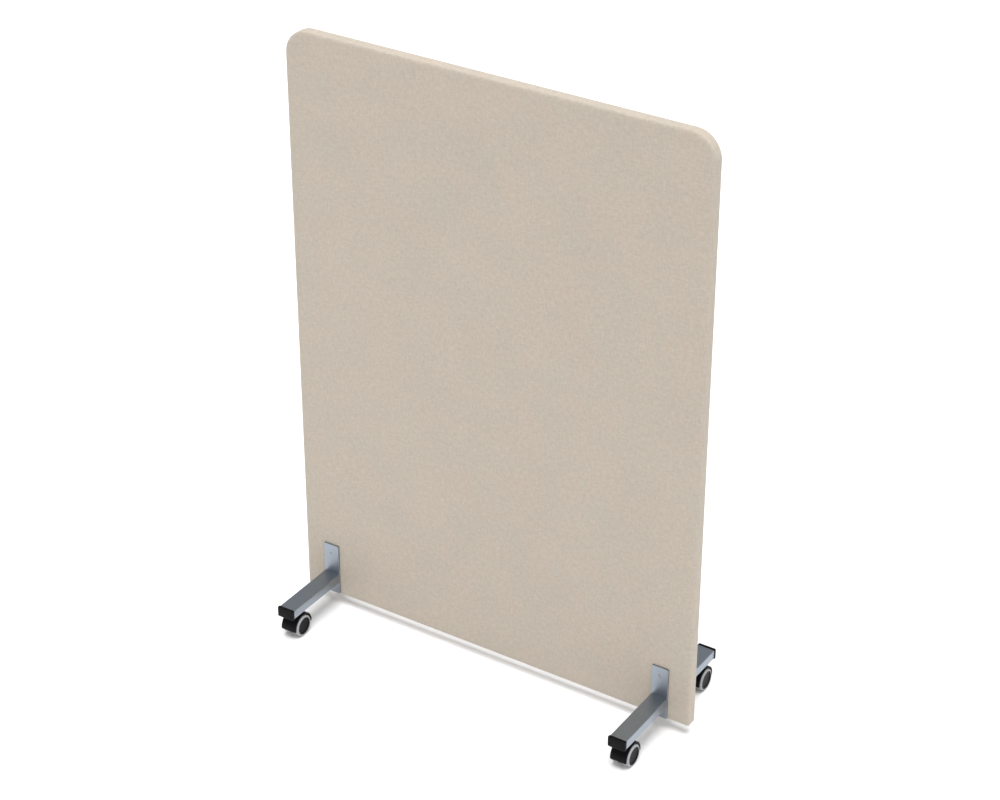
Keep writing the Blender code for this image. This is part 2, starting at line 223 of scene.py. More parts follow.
class Finish:
    """A procedural material around one Principled shader."""

    def __init__(self, name, colour, roughness, metallic=0.0, **sockets):
        self.material = bpy.data.materials.new(name)
        self.material.use_nodes = True
        self.tree = self.material.node_tree
        self.shader = self.tree.nodes["Principled BSDF"]
        self.set(self.shader, {"Base Color": (*colour, 1.0), "Roughness": roughness, "Metallic": metallic})
        self.set(self.shader, {key.replace("_", " "): value for key, value in sockets.items()})

    @staticmethod
    def set(node, values):
        for key, value in values.items():
            node.inputs[key].default_value = value

    def node(self, kind, sockets=(), **settings):
        """A node with its settings; a socket given an output is linked, and others are set."""
        made = self.tree.nodes.new("ShaderNode" + kind)
        for key, value in settings.items():
            setattr(made, key, value)
        for key, value in dict(sockets).items():
            if isinstance(value, bpy.types.NodeSocket):
                self.tree.links.new(value, made.inputs[key])
            else:
                made.inputs[key].default_value = value
        return made

    def math(self, operation, first, second=0.0, third=0.0):
        made = self.node("Math", {0: first, 1: second, 2: third}, operation=operation)
        return made.outputs[0]

    def object_space(self, stretch=(1.0, 1.0, 1.0)):
        source = self.node("TexCoord").outputs["Object"]
        return self.node("Mapping", {"Vector": source, "Scale": stretch}).outputs[0]

    def thread_space(self, stretch=(1.0, 1.0, 1.0)):
        """The cloth's own plane: x along the weft, y along the warp, in metres."""
        source = self.node("Attribute", attribute_name="thread").outputs["Vector"]
        return self.node("Mapping", {"Vector": source, "Scale": stretch}).outputs[0]

    def noise(self, vector, scale, detail=2.0, roughness=0.5, distortion=0.0):
        sockets = {"Vector": vector, "Scale": scale, "Detail": detail, "Roughness": roughness}
        sockets["Distortion"] = distortion
        return self.node("TexNoise", sockets).outputs["Fac"]

    def product(self, first, *others):
        for other in others:
            first = self.math("MULTIPLY", first, other)
        return first

    def mean(self, first, second):
        return self.math("MULTIPLY", self.math("ADD", first, second), 0.5)

    def remap(self, value, low, high, source=NOISE_RANGE):
        """A value mapped from its source range to low and high, and held between them."""
        sockets = {"Value": value, "From Min": source[0], "From Max": source[1]}
        sockets.update({"To Min": low, "To Max": high})
        return self.node("MapRange", sockets).outputs[0]

    def mix(self, factor, first, second, blend_type="MIX"):
        """Two colours mixed. Each is a socket or a plain colour."""
        first, second = (
            value if isinstance(value, bpy.types.NodeSocket) else (*value, 1.0) for value in (first, second)
        )
        sockets = {0: factor, 6: first, 7: second}
        return self.node("Mix", sockets, data_type="RGBA", blend_type=blend_type).outputs[2]

    def tint(self, base, shade):
        """A colour made lighter or darker by a value around 1."""
        spread = self.node("CombineXYZ", {"X": shade, "Y": shade, "Z": shade}).outputs[0]
        return self.mix(1.0, base, spread, "MULTIPLY")

    def use(self, socket, value):
        self.tree.links.new(value, self.shader.inputs[socket])

    def bump(self, *layers):
        """Bump layers of (height, distance, strength), finest last."""
        normal = None
        for height, distance, strength in layers:
            sockets = {"Height": height, "Distance": distance, "Strength": strength}
            if normal is not None:
                sockets["Normal"] = normal
            normal = self.node("Bump", sockets).outputs[0]
        self.use("Normal", normal)


def make_cloth():
    """Plain-woven melange upholstery: uneven yarns of mixed tone, with a soft nap."""
    made = Finish("cloth", CLOTH_COLOUR, 0.92, Sheen_Weight=0.25, Sheen_Roughness=0.45)
    made.set(made.shader, {"Specular IOR Level": 0.15, "Sheen Tint": (1.0, 0.97, 0.93, 1.0)})
    flat = made.thread_space()
    wander = made.remap(made.noise(flat, 90.0, 1.0), -0.6, 0.6, (0.0, 1.0))
    split = made.node("SeparateXYZ", {0: flat})
    turns = math.pi / YARN_PITCH
    sine_x, sine_y = (
        made.math("SINE", made.math("MULTIPLY_ADD", split.outputs[axis], turns, wander)) for axis in (0, 1)
    )
    over = made.remap(made.math("MULTIPLY", sine_x, sine_y), 0.0, 1.0, (-0.35, 0.35))
    under = made.math("SUBTRACT", 1.0, over)
    warp, weft = (
        made.math("MULTIPLY", made.math("ABSOLUTE", sine), made.math("MULTIPLY_ADD", lift, 0.6, 0.4))
        for sine, lift in ((sine_x, over), (sine_y, under))
    )
    weave = made.math("MAXIMUM", warp, weft)

    def crossed(stretch, *settings):
        """Streaks along the weft and the warp, overlaid."""
        along = made.noise(made.thread_space((1.0, stretch, 1.0)), *settings)
        across = made.noise(made.thread_space((stretch, 1.0, 1.0)), *settings)
        return made.mean(along, across)

    streak = crossed(28.0, 34.0, 2.0, 0.6)
    melange = crossed(2.5, 85.0, 3.0, 0.65)
    fleck = made.noise(flat, 900.0, 2.0, 0.7)
    cloud = made.noise(flat, 7.0, 3.0, 0.55)
    shade = made.product(
        made.remap(streak, 0.95, 1.05),
        made.remap(fleck, 0.94, 1.06),
        made.remap(cloud, 0.985, 1.015),
        made.remap(melange, 0.91, 1.09, (0.35, 0.65)),
        made.remap(weave, 0.88, 1.03, (0.2, 1.0)),
    )
    strands = made.noise(made.thread_space((24.0, 1.0, 1.0)), 21.0, 2.0)
    patches = crossed(0.3, 16.0, 3.0, 0.6)
    warm = made.remap(made.mean(strands, patches), 0.0, 1.0, (0.43, 0.57))
    made.use("Base Color", made.tint(made.mix(warm, CLOTH_COLOUR, CLOTH_SECOND), shade))
    made.use("Roughness", made.remap(fleck, 0.86, 0.98))
    made.bump((streak, 0.0006, 0.25), (fleck, 0.0002, 0.3), (weave, 0.00025, 0.7))
    return made.material


def make_silver():
    """Satin silver-grey lacquer over steel, with a fine metallic grain."""
    made = Finish("silver_steel", SILVER, 0.34, 0.92, Specular_IOR_Level=0.5)
    space = made.object_space()
    grain = made.noise(space, 2600.0, 2.0, 0.7)
    peel = made.noise(space, 420.0, 2.0, 0.5)
    haze = made.noise(space, 24.0, 3.0, 0.6)
    shade = made.product(made.remap(grain, 0.96, 1.04), made.remap(haze, 0.98, 1.02))
    made.use("Base Color", made.tint(SILVER, shade))
    rough = made.math("ADD", made.remap(haze, 0.36, 0.42), made.remap(grain, -0.02, 0.03))
    made.use("Roughness", rough)
    made.bump((peel, 0.00012, 0.25), (grain, 0.00004, 0.3))
    return made.material


def make_zinc():
    """Bright zinc plating with turning marks and a faint bloom."""
    made = Finish("zinc", ZINC, 0.3, 1.0)
    space = made.object_space()
    bloom = made.noise(space, 160.0, 3.0, 0.6)
    marks = made.noise(made.object_space((1.0, 1.0, 9.0)), 700.0, 2.0, 0.6)
    made.use("Base Color", made.tint(ZINC, made.remap(bloom, 0.9, 1.08)))
    made.use("Roughness", made.remap(bloom, 0.24, 0.42))
    made.bump((marks, 0.00006, 0.35),)
    return made.material


def make_plastic():
    """Black moulded plastic with a fine spark-eroded grain."""
    made = Finish("black_plastic", BLACK, 0.42, 0.0, Specular_IOR_Level=0.08)
    space = made.object_space()
    grain = made.noise(space, 2200.0, 3.0, 0.65)
    pits = made.node("TexVoronoi", {"Vector": space, "Scale": 1500.0}).outputs["Distance"]
    haze = made.noise(space, 60.0, 3.0, 0.6)
    made.use("Base Color", made.tint(BLACK, made.remap(haze, 0.85, 1.2)))
    rough = made.math("ADD", made.remap(haze, 0.36, 0.46), made.remap(grain, -0.03, 0.04))
    made.use("Roughness", rough)
    made.bump((pits, 0.00008, 0.2), (grain, 0.00005, 0.3))
    return made.material


def make_rubber():
    """Soft grey tread with a matt skin, faint mould mottling and a little dust."""
    made = Finish("grey_rubber", RUBBER, 0.62, 0.0, Specular_IOR_Level=0.35)
    space = made.object_space()
    mottle = made.noise(space, 240.0, 3.0, 0.6)
    grain = made.noise(space, 1700.0, 2.0, 0.6)
    dust = made.noise(space, 75.0, 4.0, 0.65)
    shade = made.product(made.remap(mottle, 0.94, 1.06), made.remap(dust, 0.96, 1.06, (0.35, 0.7)))
    made.use("Base Color", made.tint(RUBBER, shade))
    made.use("Roughness", made.remap(dust, 0.54, 0.74))
    made.bump((mottle, 0.0001, 0.25), (grain, 0.00005, 0.3))
    return made.material


def make_timber():
    """Planed softwood: growth rings along the length, with fine fibres."""
    made = Finish("timber", TIMBER, 0.62, 0.0, Specular_IOR_Level=0.3)
    space = made.object_space((9.0, 9.0, 0.5))
    wood = {"Vector": space, "Scale": 9.0, "Distortion": 5.0, "Detail": 3.0, "Detail Scale": 1.4}
    rings = made.node("TexWave", wood, wave_type="BANDS", bands_direction="X").outputs["Fac"]
    fibres = made.noise(made.object_space((60.0, 60.0, 1.5)), 30.0, 2.0, 0.6)
    tone = made.mix(rings, TIMBER, TIMBER_DARK)
    made.use("Base Color", made.tint(tone, made.remap(fibres, 0.9, 1.1)))
    made.use("Roughness", made.remap(fibres, 0.55, 0.72))
    made.bump((rings, 0.0001, 0.2), (fibres, 0.0001, 0.35))
    return made.material


def make_fibre(name, colour, scale):
    """Pressed or carded fibres, lying every way."""
    made = Finish(name, colour, 0.95, 0.0, Specular_IOR_Level=0.1, Sheen_Weight=0.15)
    strands = made.noise(made.object_space((1.0, 1.0, 6.0)), scale, 3.0, 0.7, 1.2)
    crossing = made.noise(made.object_space((6.0, 1.0, 1.0)), scale, 3.0, 0.7, 1.2)
    tangle = made.math("MULTIPLY", strands, crossing)
    made.use("Base Color", made.tint(colour, made.remap(tangle, 0.84, 1.1, (0.12, 0.4))))
    made.use("Roughness", made.remap(tangle, 0.88, 1.0, (0.12, 0.4)))
    made.bump((tangle, 0.0006, 0.5),)
    return made.material


cloth = make_cloth()
silver = make_silver()
zinc = make_zinc()
plastic = make_plastic()
rubber = make_rubber()
timber = make_timber()
absorber = make_fibre("absorber", ABSORBER, 420.0)
wadding = make_fibre("wadding", WADDING, 700.0)


# ---------------------------------------------------------------- camera, floor and light


def make_camera():
    camera = bpy.data.objects.new("camera", bpy.data.cameras.new("camera"))
    bpy.context.scene.collection.objects.link(camera)
    look = Vector(CAMERA_TARGET) - Vector(CAMERA_PLACE)
    camera.location = CAMERA_PLACE
    camera.rotation_mode = "QUATERNION"
    roll = Quaternion((0.0, 0.0, 1.0), CAMERA_ROLL)
    camera.rotation_quaternion = look.to_track_quat("-Z", "Y") @ roll
    camera.data.lens = LENS
    camera.data.sensor_width = SENSOR
    camera.data.clip_end = CLIP_END
    bpy.context.scene.camera = camera


FLOOR_RADIUS = 30.0
FLOOR_WHITE = 0.82
AMBIENT = 0.45
ROOM_COLOUR = (0.97, 0.98, 1.0, 1.0)
BACKGROUND = 1.1
WHITE = (1.0, 1.0, 1.0, 1.0)
SUNS = {
    # name: (where it shines from, strength, angular size in degrees)
    "overhead": ((0.12, -0.14, 1.0), 3.9, 44.0),
    "front": ((0.35, -1.0, 0.55), 0.95, 50.0),
    "right": ((1.0, 0.15, 0.5), 0.15, 50.0),
    "back": ((-0.3, 1.0, 0.9), 0.9, 60.0),
}


def make_floor():
    """A plain pale floor."""
    bm = bmesh.new()
    bmesh.ops.create_circle(bm, cap_ends=True, radius=FLOOR_RADIUS, segments=96)
    made = Finish("floor", (FLOOR_WHITE,) * 3, 0.9, Specular_IOR_Level=0.0)
    floor = link("floor", mesh_of("floor", bm), made.material)


def make_light():
    """Soft studio light: wide suns in a grey room, whose walls look white straight from the camera."""
    for name, (source, strength, size) in SUNS.items():
        lamp = bpy.data.lights.new(name, "SUN")
        lamp.energy = strength
        lamp.angle = math.radians(size)
        thing = bpy.data.objects.new(name, lamp)
        bpy.context.scene.collection.objects.link(thing)
        thing.visible_glossy = False
        thing.rotation_mode = "QUATERNION"
        thing.rotation_quaternion = Vector(source).to_track_quat("Z", "Y")
    world = bpy.data.worlds.new("room")
    bpy.context.scene.world = world
    world.use_nodes = True
    tree = world.node_tree
    room = tree.nodes["Background"]
    room.inputs["Color"].default_value = ROOM_COLOUR
    room.inputs["Strength"].default_value = AMBIENT
    white = tree.nodes.new("ShaderNodeBackground")
    white.inputs["Color"].default_value = WHITE
    white.inputs["Strength"].default_value = BACKGROUND
    mix = tree.nodes.new("ShaderNodeMixShader")
    path = tree.nodes.new("ShaderNodeLightPath")
    tree.links.new(path.outputs["Is Camera Ray"], mix.inputs[0])
    tree.links.new(room.outputs[0], mix.inputs[1])
    tree.links.new(white.outputs[0], mix.inputs[2])
    tree.links.new(mix.outputs[0], tree.nodes["World Output"].inputs[0])
    bpy.context.scene.view_settings.view_transform = "Standard"


make_camera()
make_floor()
make_light()


# ---------------------------------------------------------------- the screen


cover_low, cover_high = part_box("fabric_cover")
SCREEN_HALF_WIDTH = cover_high.x
SCREEN_TOP = cover_high.z
SCREEN_FOOT = cover_low.z
SCREEN_HALF = cover_high.y


def outline(inset, foot):
    """The screen's outline in XZ, up its left side, over both round corners and down again."""
    side = SCREEN_HALF_WIDTH - inset
    top = SCREEN_TOP - inset
    radius = CORNER_RADIUS - inset
    rise = top - radius - foot
    left = [(-side, foot + rise * j / SIDE_STEPS) for j in range(SIDE_STEPS)]
    left += arc((-side + radius, top - radius), radius, 180, 90, CORNER_STEPS)
    span = 2 * (side - radius)
    middle = [(-side + radius + span * i / TOP_STEPS, top) for i in range(1, TOP_STEPS)]
    return left + middle + [(-x, z) for x, z in reversed(left)]


def face_grid(bm, border, depth):
    """Fills an outline with quads whose rows and columns run to the outline's own points."""
    corner = SIDE_STEPS + CORNER_STEPS
    columns = [vert.co.x for vert in border[SIDE_STEPS:len(border) - SIDE_STEPS]]
    heights = [vert.co.z for vert in border[:corner + 1]]
    last = len(columns) - 1
    made = {}
    for i, vert in enumerate(border):
        if i <= corner:
            made[max(0, i - SIDE_STEPS), i] = vert
        elif i < len(border) - 1 - corner:
            made[i - SIDE_STEPS, corner] = vert
        else:
            row = len(border) - 1 - i
            made[last - max(0, row - SIDE_STEPS), row] = vert

    def tallest(i):
        return SIDE_STEPS + min(i, last - i, CORNER_STEPS)

    for i in range(last + 1):
        for j in range(tallest(i) + 1):
            if (i, j) not in made:
                made[i, j] = bm.verts.new((columns[i], depth, heights[j]))
    for i in range(last):
        low = min(tallest(i), tallest(i + 1))
        for j in range(low):
            quad = (made[i, j], made[i + 1, j], made[i + 1, j + 1], made[i, j + 1])
            bm.faces.new(quad)
        if tallest(i) != tallest(i + 1):
            tall = i + 1 if tallest(i + 1) > tallest(i) else i
            triangle = (made[i, low], made[i + 1, low], made[tall, low + 1])
            bm.faces.new(triangle)


def shoulder():
    """(inset, drop) pairs over the padded edge, from the flat of the face round to its side."""
    pairs = []
    for i in range(SHOULDER_STEPS + 1):
        angle = math.pi / 2 * (1 - i / SHOULDER_STEPS)
        run = abs(math.cos(angle)) ** (2 / SHOULDER_POWER)
        rise = abs(math.sin(angle)) ** (2 / SHOULDER_POWER)
        pairs.append((SHOULDER_WIDTH * (1 - run), SHOULDER_DROP * (1 - rise)))
    return pairs


def cover_section():
    """(inset, y, distance over the cloth from the flat) from the front face round to the rear."""
    squeeze = 1 - EDGE_CROWN / SHOULDER_WIDTH
    front = [(inset * squeeze + EDGE_CROWN, -SCREEN_HALF + drop) for inset, drop in shoulder()]
    reach = SCREEN_HALF - SHOULDER_DROP
    across = [-1 + 2 * i / EDGE_STEPS for i in range(1, EDGE_STEPS)]
    flat = [(EDGE_CROWN * t * t, reach * t) for t in across]
    points = front + flat + [(inset, -y) for inset, y in reversed(front)]
    walked = [0.0]
    for (x0, y0), (x1, y1) in zip(points, points[1:]):
        walked.append(walked[-1] + math.hypot(x1 - x0, y1 - y0))
    half = walked[-1] / 2
    return [(inset, y, min(s, 2 * half - s)) for (inset, y), s in zip(points, walked)]


def make_cover():
    """The fabric cover: one sewn sleeve of cloth with its hem turned under the screen's foot."""
    bm = bmesh.new()
    thread = bm.verts.layers.float_vector.new("thread")
    foot = SCREEN_FOOT + HEM_RADIUS - HEM_DROP
    flat_edge = outline(SHOULDER_WIDTH, foot)
    outer_edge = outline(0.0, foot)
    outward = [Vector(b) - Vector(a) for a, b in zip(flat_edge, outer_edge)]
    outward = [step.normalized() for step in outward]
    rows = []
    for inset, y, walked in cover_section():
        row = []
        for point, start, out in zip(outline(inset, foot), flat_edge, outward):
            vert = bm.verts.new((point[0], y, point[1]))
            place = Vector(start) + out * walked
            vert[thread] = (place.x, place.y, 0.0)
            row.append(vert)
        rows.append(row)
    for first, second in zip(rows, rows[1:]):
        bridge(bm, first, second, closed=False)
    for row in (rows[0], rows[-1]):
        face_grid(bm, row, row[0].co.y)
    for vert in bm.verts:
        if vert[thread].length == 0.0:  # inside the flat of a face, where it is still unset
            vert[thread] = (vert.co.x, vert.co.z, 0.0)
    make_hem(bm, thread, foot)
    bmesh.ops.remove_doubles(bm, verts=bm.verts, dist=SAME_PLACE)
    return mesh_of("screen_cover", bm, sharp=60)


def rim_loop(bm, foot):
    """The vertices around the sleeve's open foot, in order."""
    limit = foot + SAME_PLACE
    rim = [edge for edge in bm.edges if edge.is_boundary and max(v.co.z for v in edge.verts) < limit]
    ahead = {}
    for edge in rim:
        first, second = edge.verts
        ahead.setdefault(first, []).append(second)
        ahead.setdefault(second, []).append(first)
    start = min(ahead, key=lambda v: (round(v.co.x, 6), round(v.co.y, 6)))
    loop, last = [start], None
    while True:
        here = loop[-1]
        step = [v for v in ahead[here] if v is not last][0]
        if step is start:
            return loop
        last = here
        loop.append(step)


def make_hem(bm, thread, foot):
    """Turns the sleeve's foot under the screen and lays its hem flat there."""
    rim = rim_loop(bm, foot)
    turns = [(HEM_RADIUS - x, foot - y) for x, y in arc((0.0, 0.0), HEM_RADIUS, 0, 90, 5)][1:]
    turns += [(inward, turns[-1][1]) for inward in (HEM_MIDDLE, HEM_WIDTH)]
    last = rim
    for inward, height in turns:
        row = []
        for vert in rim:
            x = math.copysign(min(abs(vert.co.x), SCREEN_HALF_WIDTH - inward), vert.co.x)
            y = math.copysign(min(abs(vert.co.y), SCREEN_HALF - inward), vert.co.y)
            made = bm.verts.new((x, y, height))
            made[thread] = vert[thread] - Vector((0.0, inward + foot - height, 0.0))
            row.append(made)
        bridge(bm, last, row)
        last = row


def solid_sheet(name, mesh, thickness, finish):
    """The mesh of an open skin made into cloth of that thickness, inwards."""
    thing = link(name, mesh, finish)
    step = thing.modifiers.new("thickness", "SOLIDIFY")
    step.thickness = thickness
    step.offset = -1.0
    step.use_even_offset = True
    depsgraph = bpy.context.evaluated_depsgraph_get()
    solid = bpy.data.meshes.new_from_object(thing.evaluated_get(depsgraph))
    bpy.data.objects.remove(thing, do_unlink=True)
    solid.name = name
    return solid


def finish_wadding(side):
    """A flat sheet of wadding between the frame and the cover."""
    name, node = "wadding_sheet_" + side, "wadding_" + side
    low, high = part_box(node)
    outer = outer_y(node)
    bm = bmesh.new()
    face_grid(bm, [bm.verts.new((x, outer, z)) for x, z in outline(SHOULDER_WIDTH, SCREEN_FOOT)], outer)
    bmesh.ops.recalc_face_normals(bm, faces=bm.faces)
    bm.faces.ensure_lookup_table()
    if bm.faces[0].normal.y * SIGNS[side] < 0:
        bmesh.ops.reverse_faces(bm, faces=bm.faces)
    sheet = solid_sheet(name, mesh_of(name, bm, turn_out=False), high.y - low.y, wadding)
    made = piece(name, sheet, wadding, "screen", "wadding", node)
    return made


def finish_screen():
    skin = solid_sheet("screen_cover", make_cover(), CLOTH, cloth)
    cover = piece("screen_cover", skin, cloth, "screen", "cover_fabric", "fabric_cover")
    sheets = [finish_wadding(side) for side in ("front", "rear")]


finish_screen()


# ---------------------------------------------------------------- the legs

PLATE_CORNER = 0.0020
PLATE_ROUND = 0.0006
TUBE_RADIUS = 0.0025
TUBE_WALL = 0.0020
WELD = 0.0006
STEM_HOLE = 0.0053
CAP_FLANGE = 0.0060
CAP_CORNER = 0.0028
CAP_ROUND = 0.0012
CAP_BACK_ROUND = 0.0003
CAP_PLUG = 0.010
PLUG_INSET = 0.0036
PLUG_TAPER = 0.0005
HEAD_RADIUS = 0.0050
HEAD_RIM = 0.0004  # the straight rim above the countersink
HEAD_EASE = 0.0001
HOLE_GAP = 0.00015
SHANK_RADIUS = 0.003
SLEEVE_RADIUS = 0.004
SOCKET_RADIUS = 0.0026
SOCKET_DEPTH = 0.0010
BOLT_LEVELS = ("lower", "upper")


def moved(bm, place):
    """The same bmesh, moved."""
    bmesh.ops.translate(bm, vec=place, verts=bm.verts)
    return bm


def lofted_in_y(sections, middle, loop=False):
    """A loft along Y through rounded rectangles, each (width, height, radius, y)."""
    rings = [
        [(middle.x + across, y, middle.z + up) for across, up in rounded_rectangle(*size)]
        for *size, y in sections
    ]
    return loft(rings, loop)


def plate_mesh(name, node, side):
    """A foot plate with eased edges and two countersunk holes."""
    low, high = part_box(node)
    width, height, depth = high.x - low.x, high.z - low.z, high.y - low.y
    outer = outer_y(node)
    inward = -math.copysign(1.0, outer)
    edge = rounded_edge(PLATE_ROUND)
    sections = edge + [(inset, depth - into) for inset, into in reversed(edge)]
    sections = [
        (width - 2 * inset, height - 2 * inset, PLATE_CORNER - inset, outer + inward * into)
        for inset, into in sections
    ]
    rim = HEAD_RADIUS + HOLE_GAP
    hole = SLEEVE_RADIUS + HOLE_GAP
    countersink = [(rim, -SMALL), (rim, HEAD_RIM), (hole, HEAD_RIM + rim - hole), (hole, depth + SMALL)]
    countersink = [(radius, outer + inward * into) for radius, into in countersink]
    holes = []
    for level in BOLT_LEVELS:
        bolt = middle_of(f"foot_screw_{side}_{level}")
        holes.append(moved(turned(countersink, 48, "Y"), (bolt.x, 0.0, bolt.z)))
    return solved(name, lofted_in_y(sections, middle_of(node)), cuts=holes)


def tube_mesh(name, node, plate, stem):
    """A leg tube: hollow, with a small weld on its plate and a hole for the castor's stem."""
    low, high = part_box(node)
    width, height = high.x - low.x, high.z - low.z
    outer, seat = outer_y(node), outer_y(plate)
    step = math.copysign(1.0, outer)
    bore = (width - 2 * TUBE_WALL, height - 2 * TUBE_WALL, TUBE_RADIUS - TUBE_WALL / 2)
    sections = [
        (width, height + 2 * out, TUBE_RADIUS, seat + step * along)
        for out, along in arc((WELD, WELD), WELD, 270, 180, 4)
    ]
    sections += [(width, height, TUBE_RADIUS, outer), (*bore, outer), (*bore, seat)]
    hole = turned([(STEM_HOLE, low.z - SMALL), (STEM_HOLE, middle_of(node).z)], 40)
    place = middle_of(stem)
    body = lofted_in_y(sections, middle_of(node), loop=True)
    return solved(name, body, cuts=[moved(hole, (place.x, place.y, 0.0))])


def cap_mesh(name, node):
    """The end cap: a flange with a rounded face that stands out past the tube, and its plug."""
    low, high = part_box(node)
    width, height = high.x - low.x, high.z - low.z
    outer = outer_y(node)
    inward = -math.copysign(1.0, outer)
    stations = rounded_edge(CAP_ROUND)
    stations += [(inset, CAP_FLANGE - into) for inset, into in reversed(rounded_edge(CAP_BACK_ROUND))]
    stations += [(PLUG_INSET, CAP_FLANGE), (PLUG_INSET, CAP_FLANGE + CAP_PLUG - PLUG_TAPER)]
    stations += [(PLUG_INSET + PLUG_TAPER, CAP_FLANGE + CAP_PLUG)]
    sections = [
        (width - 2 * inset, height - 2 * inset, max(CAP_CORNER - inset, SMALL), outer + inward * into)
        for inset, into in stations
    ]
    return mesh_of(name, lofted_in_y(sections, middle_of(node)))


def finish_legs():
    for corner, _, side in CORNERS:
        plate, tube, cap = (corner + part for part in ("_foot_plate", "_leg_tube", "_end_cap"))
        name = corner + "_plate"
        piece(name, plate_mesh(name, plate, side), silver, "screen", "silver_steel", plate)
        name = corner + "_tube"
        mesh = tube_mesh(name, tube, plate, corner + "_castor_stem")
        piece(name, mesh, silver, "screen", "silver_steel", tube)
        name = corner + "_cap"
        piece(name, cap_mesh(name, cap), plastic, "screen", "black_plastic", cap)


finish_legs()


# ---------------------------------------------------------------- the castors

HOOD_OUTER = 0.031
HOOD_INNER = 0.027
HOOD_ROUND = 0.0012
HOOD_STEPS = 48
LIP_DROP = 7  # degrees that the hood's lips reach below the axle
WEB_HALF_WIDTH = 0.0045
WEB_BOSS_RADIUS = 0.008
STEM_BOSS_RADIUS = 0.008
STEM_BOSS_DEPTH = 0.0046
STEM_BOSS_EASE = 0.0004
AXLE_HOLE = 0.0033
PIVOT_HOLE = 0.0028
PIVOT_DEPTH = 0.0143
WHEEL_RADIUS = 0.025
WHEEL_INNER = 0.005
WHEEL_OUTER = 0.022
TYRE_BORE = 0.0206
TYRE_BEAD = 0.0003
INNER_SHOULDER = 0.0014
OUTER_SHOULDER = 0.0036
CORE_RADIUS = 0.0204
CORE_FACE = 0.0215
CORE_EASE = 0.0004
CORE_RIM = 0.0016  # the flat rim around the dish
CORE_STEP = 0.0013
DISH_DEPTH = 0.0006
DISH_STEPS = 8
HUB_BORE_DEPTH = 0.0115


def hood_arch(half_width):
    """The hood's arch over both wheels: a rounded section swept around the axle."""
    middle = (HOOD_OUTER + HOOD_INNER) / 2
    wall = HOOD_OUTER - HOOD_INNER
    ease = math.degrees(HOOD_ROUND / HOOD_OUTER)
    lip = [(ease * depth / HOOD_ROUND, inset) for inset, depth in rounded_edge(HOOD_ROUND, 3)]
    span = 180 + 2 * (LIP_DROP - ease)
    stations = [(turn - LIP_DROP, inset) for turn, inset in lip]
    stations += [(ease - LIP_DROP + span * i / HOOD_STEPS, 0.0) for i in range(1, HOOD_STEPS)]
    stations += [(180 + LIP_DROP - turn, inset) for turn, inset in reversed(lip)]
    rings = []
    for angle, inset in stations:
        radius = max(HOOD_ROUND - inset, HOOD_ROUND / 4)
        section = rounded_rectangle(2 * (half_width - inset), wall - 2 * inset, radius, 4)
        turn = math.radians(angle)
        rings.append([
            (x, (middle + out) * math.cos(turn), (middle + out) * math.sin(turn)) for x, out in section
        ])
    return loft(rings)


def hood_web():
    """The web between the wheels, which carries the axle in a round boss."""
    ring = arc((0.0, 0.0), (HOOD_OUTER + HOOD_INNER) / 2, 180, 0, HOOD_STEPS)
    ring += arc((0.0, 0.0), WEB_BOSS_RADIUS, 0, -180, HOOD_STEPS // 2)
    return loft([[(x, y, z) for y, z in ring] for x in (-WEB_HALF_WIDTH, WEB_HALF_WIDTH)])


def hood_mesh(name, half_width, swivel):
    """The whole hood around the axle. swivel is the swivel axis's y from the axle."""
    boss = [
        (STEM_BOSS_RADIUS, HOOD_OUTER - STEM_BOSS_DEPTH),
        (STEM_BOSS_RADIUS, HOOD_OUTER - STEM_BOSS_EASE),
        (STEM_BOSS_RADIUS - STEM_BOSS_EASE, HOOD_OUTER),
    ]
    boss = moved(turned(boss, 48), (0.0, swivel, 0.0))
    pivot = turned([(PIVOT_HOLE, HOOD_OUTER - PIVOT_DEPTH), (PIVOT_HOLE, HOOD_OUTER + SMALL)], 32)
    pivot = moved(pivot, (0.0, swivel, 0.0))
    bore = turned([(AXLE_HOLE, side * (WEB_HALF_WIDTH + SMALL)) for side in (-1, 1)], 32, "X")
    return solved(name, hood_arch(half_width), (hood_web(), boss), (bore, pivot))


def tyre_mesh(side):
    """The soft tyre: flat tread, eased inner edge and a full round outer shoulder."""
    corner = (WHEEL_RADIUS - INNER_SHOULDER, WHEEL_INNER + INNER_SHOULDER)
    inner = arc(corner, INNER_SHOULDER, -90, 0, 4)
    corner = (WHEEL_RADIUS - OUTER_SHOULDER, WHEEL_OUTER - OUTER_SHOULDER)
    outer = arc(corner, OUTER_SHOULDER, 0, 90, 10)
    bead = [(TYRE_BORE + TYRE_BEAD, WHEEL_OUTER), (TYRE_BORE, WHEEL_OUTER - TYRE_BEAD)]
    profile = [(TYRE_BORE, WHEEL_INNER)] + inner + outer + bead
    return mirrored_turning(f"tyre_{side}", profile, side, loop=True)


def core_mesh(side):
    """The wheel's plastic core: a flat rim, a soft step down and a shallow dished face."""
    edge = CORE_RADIUS - CORE_EASE - CORE_RIM
    dish = edge - CORE_STEP
    floor = CORE_FACE - CORE_STEP
    profile = [
        (AXLE_HOLE, WHEEL_INNER + HUB_BORE_DEPTH),
        (AXLE_HOLE, WHEEL_INNER),
        (CORE_RADIUS, WHEEL_INNER),
        (CORE_RADIUS, CORE_FACE - CORE_EASE),
        (CORE_RADIUS - CORE_EASE, CORE_FACE),
        (edge, CORE_FACE),
        (edge - CORE_EASE, CORE_FACE - CORE_EASE),
        (dish + CORE_EASE, floor + CORE_EASE),
    ]
    for i in range(DISH_STEPS + 1):
        turn = math.pi / 2 * i / DISH_STEPS
        profile.append((dish * math.cos(turn), floor - DISH_DEPTH * math.sin(turn)))
    return mirrored_turning(f"core_{side}", profile, side)


